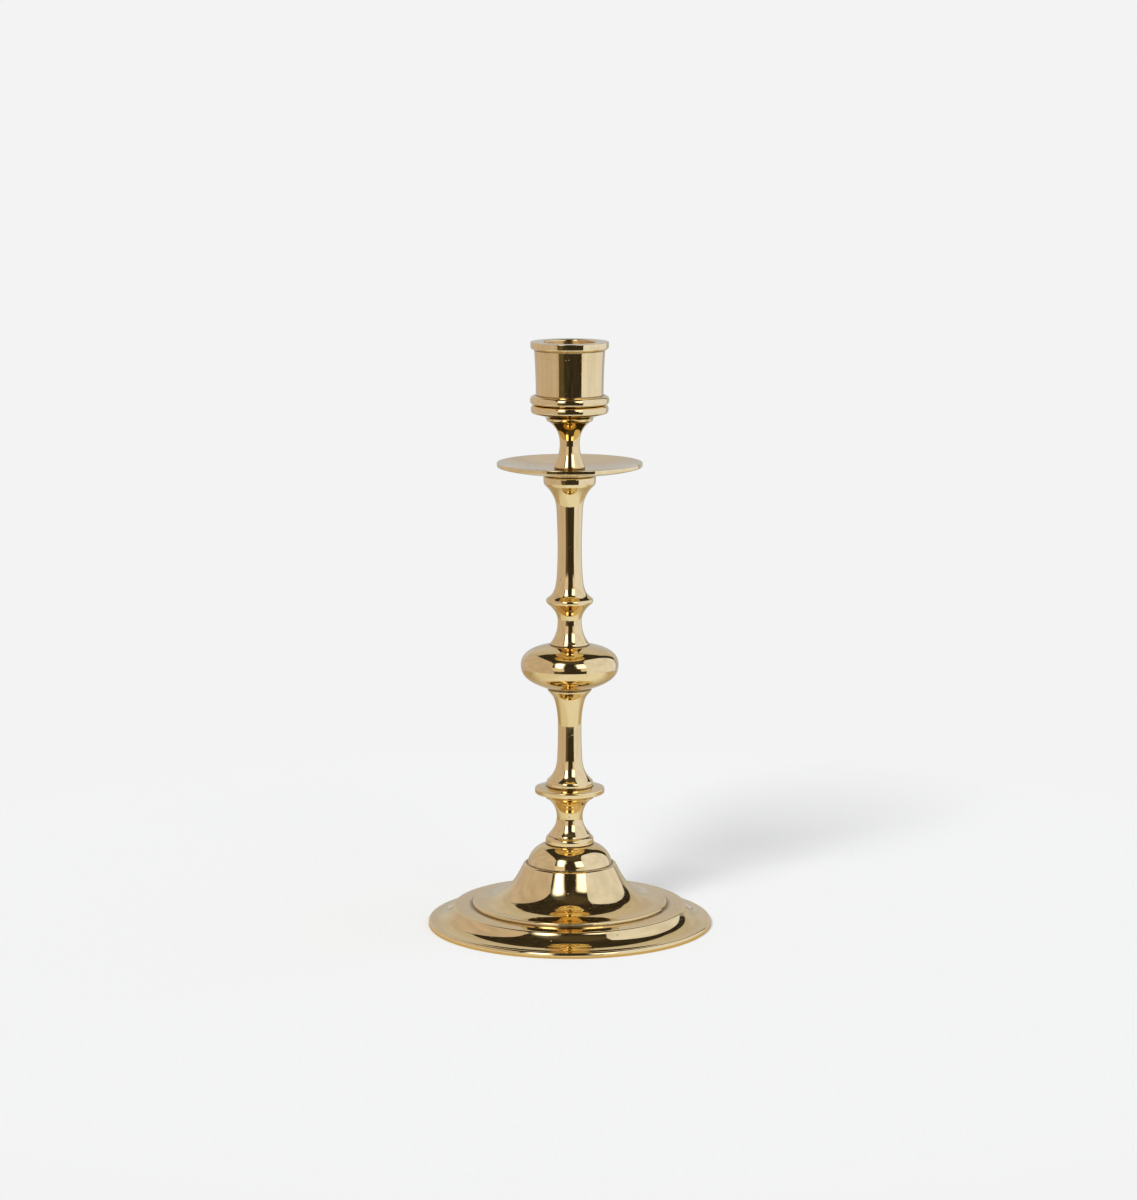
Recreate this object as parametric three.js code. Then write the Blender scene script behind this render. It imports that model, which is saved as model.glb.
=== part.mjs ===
// A turned brass candlestick: a stack of lathe-turned brass pieces held on one threaded steel rod.
// Millimetres, +Z up. The origin is on the axis, on the surface that the candlestick stands on.

import * as THREE from 'three';

// Radial sides of the turned pieces: wide ones need more than slim ones.
const WIDE_SIDES = 32;
const MIDDLE_SIDES = 24;
const SLIM_SIDES = 20;
const CURVE_STEPS = 4;

// The rod and what it passes through. The thread is M5.
const ROD_RADIUS = 2.5;
const THREAD_CLEARANCE = 0.05;
const BORE_RADIUS = 2.8;
const ROD_CHAMFER = 0.4;
const ROD_BELOW_NUT = 3;
const ROD_IN_NECK = 13;
const NUT_WIDTH = 8;
const NUT_HEIGHT = 4;
const WASHER_THICKNESS = 1.2;
const WASHER_RADIUS = 7.5;
const LOCK_WASHER_RADIUS = 4.6;
const LOCK_WASHER_SPLIT_DEG = 12;

// Running gap at each face where the socket and the pan part from what they rest on.
const RUNNING_GAP = 0.1;

// The stack, from the table up: each piece's visible height.
const BASE_HEIGHT = 26.7;
const DOME_HEIGHT = 8.4;
const COLLAR_HEIGHT = 25.1;
const LOWER_STEM_HEIGHT = 42.1;
const KNOP_HEIGHT = 18.9;
const UPPER_STEM_HEIGHT = 72.1;
const PAN_BOSS_TO_SEAT = 3;
const NECK_HEIGHT = 26.8;
const CUP_HEIGHT = 26.3;

const DOME_Z = BASE_HEIGHT;
const COLLAR_Z = DOME_Z + DOME_HEIGHT;
const LOWER_STEM_Z = COLLAR_Z + COLLAR_HEIGHT;
const KNOP_Z = LOWER_STEM_Z + LOWER_STEM_HEIGHT;
const UPPER_STEM_Z = KNOP_Z + KNOP_HEIGHT;
const PAN_Z = UPPER_STEM_Z + UPPER_STEM_HEIGHT + RUNNING_GAP;
const NECK_Z = PAN_Z + PAN_BOSS_TO_SEAT + RUNNING_GAP;
const CUP_Z = NECK_Z + NECK_HEIGHT;

// Base: a hollow casting with a rim, a concave slope, a flat ledge and a flared foot for the dome.
const BASE_RADIUS = 60.45;
const BASE_RIM_HEIGHT = 2.6;
const BASE_RIM_WIDTH = 4;
const LEDGE_RADIUS = 49.8;
const LEDGE_HEIGHT = 8.4;
const FLARE_RADIUS = 41.5;
const FLARE_LIP_HEIGHT = 10.3;
const FLARE_TOP_RADIUS = 20;
const DOME_SEAT_RADIUS = 18.3;
const BASE_WALL = 2.5;
const BASE_WEB = 3.5;

// Dome and the collar above it.
const DOME_RADIUS = 18.1;
const DOME_TOP_RADIUS = 10.2;
const DOME_RECESS_RADIUS = 14;
const DOME_RECESS_HEIGHT = 4.6;
const RING_RADIUS = 10.2;
const RING_HEIGHT = 3.2;
const COLLAR_WAIST_RADIUS = 5.5;
const COLLAR_WAIST_Z = 11.9;
const STEP_RADIUS = 10;
const STEP_Z = 20.2;
const DISC_RADIUS = 14.8;
const DISC_EDGE_Z = 23.9;
const DISC_FOOT_Z = 22.3;

// Stems.
const STEM_FOOT_RADIUS = 9.9;
const LOWER_WAIST_RADIUS = 5;
const LOWER_WAIST_Z = 23.5;
const LOWER_FLANGE_RADIUS = 9.3;
const KNOP_RADIUS = 20.75;
const KNOP_WAIST_Z = 10.2;
const KNOP_TOP_RADIUS = 8.1;
const NECKING_RADIUS = 5.1;
const NECKING_Z = 10.1;
const BEAD_RADIUS = 10;
const BEAD_Z = 18.7;
const UPPER_WAIST_RADIUS = 5.1;
const UPPER_WAIST_Z = 42.4;
const FLANGE_RADIUS = 11.1;
const FLANGE_HEIGHT = 2.7;
const STEM_NUT_POCKET_RADIUS = 5.2;
const STEM_NUT_POCKET_DEPTH = 4.5;

// Drip pan.
const PAN_RADIUS = 30.65;
const PAN_DISH = 2.45;
const PAN_EDGE = 1.9;
const PAN_BOSS_HEIGHT = 1.3;
const PAN_SEAT_RADIUS = 8;

// Candle socket: the waisted neck and the cup that screws into it.
const NECK_FOOT_RADIUS = 6.55;
const NECK_FOOT_HEIGHT = 1.2;
const NECK_WAIST_RADIUS = 4.17;
const NECK_WAIST_Z = 10.2;
const NECK_LIP_RADIUS = 9.8;
const NECK_LIP_Z = 20.1;
const NECK_BEAD_RADIUS = 16.35;
const NECK_BEAD_ROOT = 14.2;
const NECK_BEAD_HEIGHT = 3.9;
const NECK_BORE_DEPTH = 18.4;
const SPIGOT_RADIUS = 4;
const SPIGOT_LENGTH = 5;
const SPIGOT_CLEARANCE = 0.1;
const CUP_BEAD_RADIUS = 16.7;
const CUP_BEAD_HEIGHT = 3.8;
const CUP_WALL_RADIUS = 14.22;
const CUP_NECK_RADIUS = 14.9;
const CUP_RIM_RADIUS = 16.45;
const CUP_RIM_HEIGHT = 3;
const CANDLE_RADIUS = 11.2;
const CANDLE_FLOOR_RADIUS = 10.9;
const CANDLE_DEPTH = 22.4;

const BRASS = { color: 0xc9a566, roughness: 0.12, metalness: 1 };
const STEEL = { color: 0x8b8d90, roughness: 0.35, metalness: 1 };

/** Starts a profile in the half-plane of radius and height above the piece's own foot. */
function profileFrom(radius, height) {
  return new THREE.Path().moveTo(radius, height);
}

/** Names a mesh, gives it its own material and lifts its foot to its height in the stack. */
function placed(name, geometry, look, z) {
  const mesh = new THREE.Mesh(geometry, new THREE.MeshStandardMaterial(look));
  mesh.name = name;
  mesh.position.z = z;
  return mesh;
}

/**
 * Turns a closed profile about Z. Profiles run outwards over the top, down the outside and up the bore,
 * and LatheGeometry wants the opposite order for faces that point out.
 */
function turned(profile, sides) {
  const closed = profile.closePath().getPoints(CURVE_STEPS).reverse();
  return new THREE.LatheGeometry(closed, sides).rotateX(Math.PI / 2);
}

/** Continues a profile down a round bead that bulges to `radius` between its present height and `foot`. */
function bead(profile, root, radius, foot) {
  const top = profile.currentPoint.y;
  const middle = (top + foot) / 2;
  return profile.absellipse(root, middle, radius - root, (top - foot) / 2, Math.PI / 2, -Math.PI / 2, true);
}

/** The hollow base: web and flare at the top, then ledge, slope and rim, with the inside following them. */
function baseProfile() {
  const ledgeEdge = LEDGE_RADIUS - 1.2;
  const insideRim = BASE_RADIUS - BASE_RIM_WIDTH;
  const insideFlare = FLARE_RADIUS - BASE_WALL;
  const webUnderside = BASE_HEIGHT - BASE_WEB;
  return profileFrom(BORE_RADIUS, BASE_HEIGHT)
    .lineTo(DOME_SEAT_RADIUS, BASE_HEIGHT)
    .lineTo(FLARE_TOP_RADIUS - 1, BASE_HEIGHT)
    .lineTo(FLARE_TOP_RADIUS, BASE_HEIGHT - 1)
    .bezierCurveTo(22.9, 20, 26.6, 10.8, FLARE_RADIUS - 1, FLARE_LIP_HEIGHT)
    .lineTo(FLARE_RADIUS, FLARE_LIP_HEIGHT - 0.6)
    .lineTo(FLARE_RADIUS, LEDGE_HEIGHT + 0.4)
    .lineTo(ledgeEdge, LEDGE_HEIGHT)
    .lineTo(LEDGE_RADIUS, LEDGE_HEIGHT - 0.6)
    .bezierCurveTo(51.9, 4.9, 54.5, 2.85, BASE_RADIUS - 1.2, BASE_RIM_HEIGHT)
    .lineTo(BASE_RADIUS - 0.3, BASE_RIM_HEIGHT - 0.8)
    .lineTo(BASE_RADIUS, BASE_RIM_HEIGHT - 1.9)
    .lineTo(BASE_RADIUS, 0)
    .lineTo(insideRim, 0)
    .lineTo(LEDGE_RADIUS - 0.6, LEDGE_HEIGHT - BASE_WALL)
    .lineTo(insideFlare, LEDGE_HEIGHT - BASE_WALL + 0.4)
    .bezierCurveTo(27, 8.4, 20, 14, FLARE_TOP_RADIUS - BASE_WALL, webUnderside - 1)
    .lineTo(FLARE_TOP_RADIUS - BASE_WALL - 1, webUnderside)
    .lineTo(BORE_RADIUS, webUnderside);
}

/** The dome over the base: a cast cap, recessed underneath. */
function domeProfile() {
  return profileFrom(BORE_RADIUS, DOME_HEIGHT)
    .lineTo(DOME_TOP_RADIUS, DOME_HEIGHT)
    .bezierCurveTo(12.7, 7.85, 17, 5.2, DOME_RADIUS - 0.35, 1)
    .lineTo(DOME_RADIUS, 0)
    .lineTo(DOME_RECESS_RADIUS, 0)
    .lineTo(DOME_RECESS_RADIUS - 3, DOME_RECESS_HEIGHT)
    .lineTo(BORE_RADIUS, DOME_RECESS_HEIGHT);
}

/** The collar: a ring on the dome, a waist, a small step and the disc that the lower stem stands on. */
function collarProfile() {
  return profileFrom(BORE_RADIUS, COLLAR_HEIGHT)
    .lineTo(STEM_FOOT_RADIUS, COLLAR_HEIGHT)
    .lineTo(STEM_FOOT_RADIUS + 0.9, COLLAR_HEIGHT - 0.25)
    .lineTo(DISC_RADIUS - 0.4, COLLAR_HEIGHT - 0.65)
    .lineTo(DISC_RADIUS, DISC_EDGE_Z)
    .lineTo(DISC_RADIUS, DISC_FOOT_Z)
    .lineTo(STEP_RADIUS + 0.9, STEP_Z + 0.9)
    .lineTo(STEP_RADIUS + 0.2, STEP_Z + 0.3)
    .lineTo(STEP_RADIUS, STEP_Z - 0.3)
    .bezierCurveTo(7.6, 18.7, COLLAR_WAIST_RADIUS, 15.6, COLLAR_WAIST_RADIUS, COLLAR_WAIST_Z)
    .bezierCurveTo(COLLAR_WAIST_RADIUS, 9.2, 6.3, 7, 8.6, 4.5)
    .lineTo(RING_RADIUS - 1.2, RING_HEIGHT + 0.2)
    .lineTo(RING_RADIUS, RING_HEIGHT - 0.6)
    .lineTo(RING_RADIUS, 0.5)
    .lineTo(RING_RADIUS - 0.4, 0)
    .lineTo(BORE_RADIUS, 0);
}

/** The lower stem: a flange under the knop, a long waist and a foot that flares to the disc. */
function lowerStemProfile() {
  return profileFrom(BORE_RADIUS, LOWER_STEM_HEIGHT)
    .lineTo(LOWER_FLANGE_RADIUS, LOWER_STEM_HEIGHT)
    .lineTo(LOWER_FLANGE_RADIUS, LOWER_STEM_HEIGHT - 0.7)
    .bezierCurveTo(6.5, 38.4, 5.7, 35.3, 5.2, 30.6)
    .quadraticCurveTo(LOWER_WAIST_RADIUS, 27.1, LOWER_WAIST_RADIUS, LOWER_WAIST_Z)
    .quadraticCurveTo(LOWER_WAIST_RADIUS, 17.5, 5.25, 13.5)
    .bezierCurveTo(5.2, 9.7, 6.9, 3.9, STEM_FOOT_RADIUS - 0.2, 2.4)
    .lineTo(STEM_FOOT_RADIUS, 1.5)
    .lineTo(STEM_FOOT_RADIUS, 0)
    .lineTo(BORE_RADIUS, 0);
}

/** The knop: a flattened ball. */
function knopProfile() {
  return profileFrom(BORE_RADIUS, KNOP_HEIGHT)
    .lineTo(KNOP_TOP_RADIUS, KNOP_HEIGHT)
    .bezierCurveTo(12, 18, KNOP_RADIUS, 17.1, KNOP_RADIUS, KNOP_WAIST_Z)
    .bezierCurveTo(KNOP_RADIUS, 5.4, 17.2, 3, LOWER_FLANGE_RADIUS, 0.4)
    .lineTo(LOWER_FLANGE_RADIUS, 0)
    .lineTo(BORE_RADIUS, 0);
}

/** The upper stem: flange with a nut pocket, long waist, bead, short necking and foot. */
function upperStemProfile() {
  const flangeTop = UPPER_STEM_HEIGHT;
  const flangeFoot = flangeTop - FLANGE_HEIGHT;
  const pocketFloor = flangeTop - STEM_NUT_POCKET_DEPTH;
  return profileFrom(STEM_NUT_POCKET_RADIUS, flangeTop)
    .lineTo(FLANGE_RADIUS - 0.5, flangeTop)
    .lineTo(FLANGE_RADIUS, flangeTop - 0.5)
    .lineTo(FLANGE_RADIUS - 0.1, flangeFoot)
    .lineTo(FLANGE_RADIUS - 0.6, flangeFoot - 1)
    .bezierCurveTo(7.3, 65.3, 5.65, 61.6, 5.56, 57.3)
    .bezierCurveTo(5.38, 53.5, 5.12, 47.5, UPPER_WAIST_RADIUS, UPPER_WAIST_Z)
    .quadraticCurveTo(UPPER_WAIST_RADIUS, 36, 5.4, 30.9)
    .bezierCurveTo(5.65, 26.6, 6, 23.3, 7.9, BEAD_Z + 2.4)
    .lineTo(BEAD_RADIUS - 0.2, BEAD_Z + 0.9)
    .lineTo(BEAD_RADIUS, BEAD_Z)
    .lineTo(BEAD_RADIUS - 0.5, BEAD_Z - 0.9)
    .bezierCurveTo(6.9, 15.6, NECKING_RADIUS, 13.1, NECKING_RADIUS, NECKING_Z)
    .bezierCurveTo(NECKING_RADIUS, 6.6, 5.95, 3.5, KNOP_TOP_RADIUS, 0.8)
    .lineTo(KNOP_TOP_RADIUS, 0)
    .lineTo(BORE_RADIUS, 0)
    .lineTo(BORE_RADIUS, pocketFloor)
    .lineTo(STEM_NUT_POCKET_RADIUS, pocketFloor);
}

/** The drip pan: a thin dished disc with a raised edge and a boss underneath. */
function panProfile() {
  const seat = PAN_BOSS_TO_SEAT;
  const edgeTop = seat + PAN_DISH;
  return profileFrom(BORE_RADIUS, seat)
    .lineTo(PAN_SEAT_RADIUS, seat)
    .bezierCurveTo(15, seat, 24, edgeTop - 0.7, PAN_RADIUS - 0.4, edgeTop)
    .lineTo(PAN_RADIUS, edgeTop - 0.4)
    .lineTo(PAN_RADIUS, edgeTop - PAN_EDGE + 0.6)
    .lineTo(PAN_RADIUS - 0.5, edgeTop - PAN_EDGE)
    .quadraticCurveTo(22.5, PAN_BOSS_HEIGHT, FLANGE_RADIUS, PAN_BOSS_HEIGHT)
    .lineTo(FLANGE_RADIUS, 0.5)
    .lineTo(FLANGE_RADIUS - 0.5, 0)
    .lineTo(BORE_RADIUS, 0);
}

/** The socket's neck: bead, collar lip, slender waist and foot, tapped below for the rod and above for the cup. */
function neckProfile() {
  const pocketRadius = SPIGOT_RADIUS + SPIGOT_CLEARANCE;
  const pocketFloor = NECK_HEIGHT - SPIGOT_LENGTH - 0.5;
  const beadFoot = NECK_HEIGHT - NECK_BEAD_HEIGHT;
  const outside = profileFrom(0, pocketFloor)
    .lineTo(pocketRadius, pocketFloor)
    .lineTo(pocketRadius, NECK_HEIGHT)
    .lineTo(NECK_BEAD_ROOT, NECK_HEIGHT);
  return bead(outside, NECK_BEAD_ROOT, NECK_BEAD_RADIUS, beadFoot)
    .quadraticCurveTo(12.4, 22.5, 10.6, 21.7)
    .lineTo(NECK_LIP_RADIUS + 0.3, 21.3)
    .lineTo(NECK_LIP_RADIUS, NECK_LIP_Z)
    .lineTo(NECK_LIP_RADIUS - 1, NECK_LIP_Z - 0.4)
    .bezierCurveTo(6.1, 17.7, NECK_WAIST_RADIUS, 14.9, NECK_WAIST_RADIUS, NECK_WAIST_Z)
    .bezierCurveTo(NECK_WAIST_RADIUS, 7.4, 4.9, 4.9, NECK_FOOT_RADIUS - 0.1, NECK_FOOT_HEIGHT)
    .lineTo(NECK_FOOT_RADIUS, NECK_FOOT_HEIGHT - 0.2)
    .lineTo(NECK_FOOT_RADIUS, 0)
    .lineTo(BORE_RADIUS, 0)
    .lineTo(BORE_RADIUS, NECK_BORE_DEPTH)
    .lineTo(0, NECK_BORE_DEPTH);
}

/** The candle cup: rim, slightly tapered wall, bead at the foot and a spigot that enters the neck. */
function cupProfile() {
  const rimTop = CUP_HEIGHT;
  const rimFoot = rimTop - CUP_RIM_HEIGHT;
  const floor = rimTop - CANDLE_DEPTH;
  const outside = profileFrom(0, floor)
    .lineTo(CANDLE_FLOOR_RADIUS, floor)
    .lineTo(CANDLE_RADIUS, rimTop - 0.4)
    .lineTo(CANDLE_RADIUS + 0.4, rimTop)
    .lineTo(CUP_RIM_RADIUS - 0.4, rimTop)
    .lineTo(CUP_RIM_RADIUS, rimTop - 0.4)
    .lineTo(CUP_RIM_RADIUS - 0.2, rimFoot + 0.5)
    .lineTo(CUP_RIM_RADIUS - 0.6, rimFoot)
    .lineTo(CUP_NECK_RADIUS + 0.3, rimFoot - 0.1)
    .lineTo(CUP_NECK_RADIUS, rimFoot - 0.6)
    .bezierCurveTo(14.5, 17, CUP_WALL_RADIUS, 11, CUP_WALL_RADIUS, CUP_BEAD_HEIGHT);
  return bead(outside, CUP_WALL_RADIUS, CUP_BEAD_RADIUS, 0)
    .lineTo(SPIGOT_RADIUS, 0)
    .lineTo(SPIGOT_RADIUS, -SPIGOT_LENGTH)
    .lineTo(0, -SPIGOT_LENGTH);
}

/** The threaded rod, from below the base's nut into the neck. Its foot is its lower end. */
function rodProfile(length) {
  return profileFrom(0, length)
    .lineTo(ROD_RADIUS - ROD_CHAMFER, length)
    .lineTo(ROD_RADIUS, length - ROD_CHAMFER)
    .lineTo(ROD_RADIUS, ROD_CHAMFER)
    .lineTo(ROD_RADIUS - ROD_CHAMFER, 0)
    .lineTo(0, 0);
}

/** A flat ring between two radii. */
function washerProfile(inner, outer, thickness) {
  return profileFrom(inner, thickness).lineTo(outer, thickness).lineTo(outer, 0).lineTo(inner, 0);
}

/** A hexagonal nut on the rod. */
function nutGeometry() {
  const corner = NUT_WIDTH / 2 / Math.cos(Math.PI / 6);
  const hexagon = new THREE.Shape();
  for (let i = 0; i < 6; i += 1) {
    const angle = i * Math.PI / 3;
    const method = i === 0 ? 'moveTo' : 'lineTo';
    hexagon[method](corner * Math.cos(angle), corner * Math.sin(angle));
  }
  hexagon.closePath();
  const thread = new THREE.Path().absarc(0, 0, ROD_RADIUS + THREAD_CLEARANCE, 0, 2 * Math.PI, true);
  hexagon.holes.push(thread);
  return new THREE.ExtrudeGeometry(hexagon, { depth: NUT_HEIGHT, bevelEnabled: false, curveSegments: 12 });
}

/** The split spring washer: a flat ring with a gap. */
function lockWasherGeometry() {
  const half = THREE.MathUtils.degToRad(LOCK_WASHER_SPLIT_DEG / 2);
  const inner = ROD_RADIUS + THREAD_CLEARANCE;
  const ring = new THREE.Shape()
    .absarc(0, 0, LOCK_WASHER_RADIUS, half, 2 * Math.PI - half, false)
    .absarc(0, 0, inner, 2 * Math.PI - half, half, true)
    .closePath();
  return new THREE.ExtrudeGeometry(ring, { depth: WASHER_THICKNESS, bevelEnabled: false, curveSegments: 12 });
}

const washerZ = BASE_HEIGHT - BASE_WEB - WASHER_THICKNESS;
const lockWasherZ = washerZ - WASHER_THICKNESS;
const baseNutZ = lockWasherZ - NUT_HEIGHT;
const stemNutZ = UPPER_STEM_Z + UPPER_STEM_HEIGHT - STEM_NUT_POCKET_DEPTH;
const rodZ = baseNutZ - ROD_BELOW_NUT;
const rodLength = NECK_Z + ROD_IN_NECK - rodZ;
const washer = washerProfile(BORE_RADIUS, WASHER_RADIUS, WASHER_THICKNESS);

const candlestick = new THREE.Group();
candlestick.add(
  placed('base', turned(baseProfile(), WIDE_SIDES), BRASS, 0),
  placed('base_dome', turned(domeProfile(), WIDE_SIDES), BRASS, DOME_Z),
  placed('base_collar', turned(collarProfile(), MIDDLE_SIDES), BRASS, COLLAR_Z),
  placed('lower_stem', turned(lowerStemProfile(), SLIM_SIDES), BRASS, LOWER_STEM_Z),
  placed('knop', turned(knopProfile(), WIDE_SIDES), BRASS, KNOP_Z),
  placed('upper_stem', turned(upperStemProfile(), SLIM_SIDES), BRASS, UPPER_STEM_Z),
  placed('drip_pan', turned(panProfile(), WIDE_SIDES), BRASS, PAN_Z),
  placed('socket_neck', turned(neckProfile(), MIDDLE_SIDES), BRASS, NECK_Z),
  placed('socket_cup', turned(cupProfile(), WIDE_SIDES), BRASS, CUP_Z),
  placed('tie_rod', turned(rodProfile(rodLength), SLIM_SIDES), STEEL, rodZ),
  placed('base_washer', turned(washer, SLIM_SIDES), STEEL, washerZ),
  placed('lock_washer', lockWasherGeometry(), STEEL, lockWasherZ),
  placed('base_nut', nutGeometry(), STEEL, baseNutZ),
  placed('stem_nut', nutGeometry(), STEEL, stemNutZ),
);

export default candlestick;
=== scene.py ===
"""The looks of a turned brass candlestick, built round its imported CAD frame.

Metres, +Z up. Outlines and the sizes of the hardware are in millimetres.
"""

import math

import bpy
import numpy as np
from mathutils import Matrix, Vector


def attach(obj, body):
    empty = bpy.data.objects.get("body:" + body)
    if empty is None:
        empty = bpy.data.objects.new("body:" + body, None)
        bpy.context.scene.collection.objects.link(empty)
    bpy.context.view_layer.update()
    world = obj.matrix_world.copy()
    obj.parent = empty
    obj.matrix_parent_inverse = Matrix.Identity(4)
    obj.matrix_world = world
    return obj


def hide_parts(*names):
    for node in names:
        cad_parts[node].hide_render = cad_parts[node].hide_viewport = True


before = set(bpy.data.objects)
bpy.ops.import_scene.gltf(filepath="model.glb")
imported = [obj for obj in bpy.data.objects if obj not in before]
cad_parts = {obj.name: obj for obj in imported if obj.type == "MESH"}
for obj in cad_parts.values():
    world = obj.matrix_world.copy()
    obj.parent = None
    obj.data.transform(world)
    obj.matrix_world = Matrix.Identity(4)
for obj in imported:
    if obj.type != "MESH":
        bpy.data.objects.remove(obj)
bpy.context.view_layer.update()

MM = 0.001

# Heights of each piece's foot, and the sizes that the hardware shares, in millimetres.
DOME_Z = 26.7
COLLAR_Z = 35.1
LOWER_STEM_Z = 60.2
KNOP_Z = 102.3
UPPER_STEM_Z = 121.2
PAN_Z = 193.4
NECK_Z = 196.5
CUP_Z = 223.3
BORE = 2.8
ROD_FOOT = 13.8
ROD_TOP = 209.5
THREAD_PITCH = 0.8
THREAD_CREST = 2.5
THREAD_ROOT = 2.05
THREAD_STEP = 0.1
SHANK = 2.42
SHANK_FOOT = 33.0
SHANK_TOP = 181.0
ROD_TIP = 1.75

# Outlines: curves are cut finely, softened at their corners, then thinned to what the eye needs.
CURVE_STEPS = 60
DENSE_STEP = 0.06
THIN_TOLERANCE = 0.004
THIN_ANGLE = math.radians(7)
ON_AXIS = 1e-4

# Wear, dirt and painted shade: the stretch of outline over which a corner is judged, the turn that counts
# as a full corner in radians, and how far the dirt and painted shade of a seam spreads.
CORNER_REACH = 0.35
FULL_CORNER = 0.9
SEAM_REACH = 0.55


# ---------------------------------------------------------------- outlines

def outline(start, *moves):
    """Points of an outline.

    A move is an end point, or one or two control points and then the end point of a curve.
    """
    points = [np.array(start, float)]
    for move in moves:
        hull = [points[-1]] + [np.array(move[i:i + 2], float) for i in range(0, len(move), 2)]
        steps = 1 if len(hull) == 2 else CURVE_STEPS
        for t in np.linspace(0, 1, steps + 1)[1:]:
            level = hull
            while len(level) > 1:
                level = [a * (1 - t) + b * t for a, b in zip(level[:-1], level[1:])]
            points.append(level[0])
    return np.array(points)


def resampled(points, closed):
    """The outline as points at an even, fine spacing."""
    if closed:
        points = np.vstack([points, points[:1]])
    length = np.r_[0, np.cumsum(np.hypot(*np.diff(points, axis=0).T))]
    count = max(8, int(length[-1] / DENSE_STEP))
    at = np.linspace(0, length[-1], count + 1)
    if closed:
        at = at[:-1]
    return np.stack([np.interp(at, length, points[:, k]) for k in (0, 1)], 1)


def softened(points, closed, rounding):
    """The outline with rounded corners, by a moving average. An open one meets the axis squarely."""
    reach = max(1, int(rounding / DENSE_STEP))
    kernel = np.hanning(2 * reach + 3)[1:-1]
    kernel /= kernel.sum()
    if closed:
        padded = np.vstack([points[-reach:], points, points[:reach]])
    else:
        mirror = np.array([-1, 1])
        padded = np.vstack([points[reach:0:-1] * mirror, points, points[-2:-reach - 2:-1] * mirror])
    return np.stack([np.convolve(padded[:, k], kernel, "valid") for k in (0, 1)], 1)


def neighbours(values, reach, closed):
    """The values a number of places before and after each one."""
    if closed:
        return np.roll(values, reach, 0), np.roll(values, -reach, 0)
    index = np.arange(len(values))
    return values[np.clip(index - reach, 0, None)], values[np.clip(index + reach, None, len(values) - 1)]


def thinned(points, angle):
    """Indices of the points to keep: no span strays from the outline or turns by more than it may."""
    keep, start = [0], 0
    last = len(points) - 1
    while start < last:
        end = start + 1
        while end < last:
            a, b = points[start], points[end + 1]
            inner = points[start + 1:end + 1] - a
            span = b - a
            off = np.abs(inner[:, 0] * span[1] - inner[:, 1] * span[0]) / max(np.hypot(*span), 1e-9)
            if off.max() > THIN_TOLERANCE or abs(angle[end + 1] - angle[start]) > THIN_ANGLE:
                break
            end += 1
        keep.append(end)
        start = end
    return keep


def contour(points, closed, rounding, seams):
    """Everything a turned skin needs at each kept point: place, normal, crevice dirt and painted shade, edge
    wear.
    """
    dense = softened(resampled(points, closed), closed, rounding)
    before, after = neighbours(dense, 1, closed)
    tangent = after - before
    tangent /= np.maximum(np.hypot(*tangent.T), 1e-9)[:, None]
    normal = np.stack([-tangent[:, 1], tangent[:, 0]], 1)
    angle = np.unwrap(np.arctan2(tangent[:, 1], tangent[:, 0]))
    reach = int(CORNER_REACH / DENSE_STEP)
    back, ahead = neighbours(angle, reach, False)
    turn = ahead - back
    # Concave turns and seams: dirt together with painted shade. Convex turns: edge wear.
    crevice_dirt_and_shade = np.clip(turn / FULL_CORNER, 0, 1)
    edge = np.clip(-turn / FULL_CORNER, 0, 1)
    for seam in seams:
        away = np.hypot(*(dense - np.array(seam)).T)
        crevice_dirt_and_shade = np.maximum(crevice_dirt_and_shade, np.exp(-(away / SEAM_REACH) ** 2))
    kept = thinned(dense, angle)
    if closed and kept[-1] == len(dense) - 1:
        kept = kept[:-1]
    return dense[kept], normal[kept], crevice_dirt_and_shade[kept], edge[kept]


# ---------------------------------------------------------------- meshes

def mesh_object(name, verts, faces, materials, face_material=None, normals=None, layers=None):
    """A smooth-shaded piece, with its own normals and its float layers if they are given."""
    mesh = bpy.data.meshes.new(name)
    mesh.from_pydata([tuple(v) for v in verts], [], faces)
    for material in materials:
        mesh.materials.append(material)
    if face_material is not None:
        mesh.polygons.foreach_set("material_index", np.array(face_material, np.int32))
    mesh.polygons.foreach_set("use_smooth", np.ones(len(mesh.polygons), bool))
    for layer, values in (layers or {}).items():
        attribute = mesh.attributes.new(layer, "FLOAT", "POINT")
        attribute.data.foreach_set("value", np.array(values, np.float32))
    mesh.validate()
    mesh.update()
    if normals is not None:
        mesh.normals_split_custom_set_from_vertices([tuple(n) for n in normals])
    piece = bpy.data.objects.new(name, mesh)
    bpy.context.scene.collection.objects.link(piece)
    return piece


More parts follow.
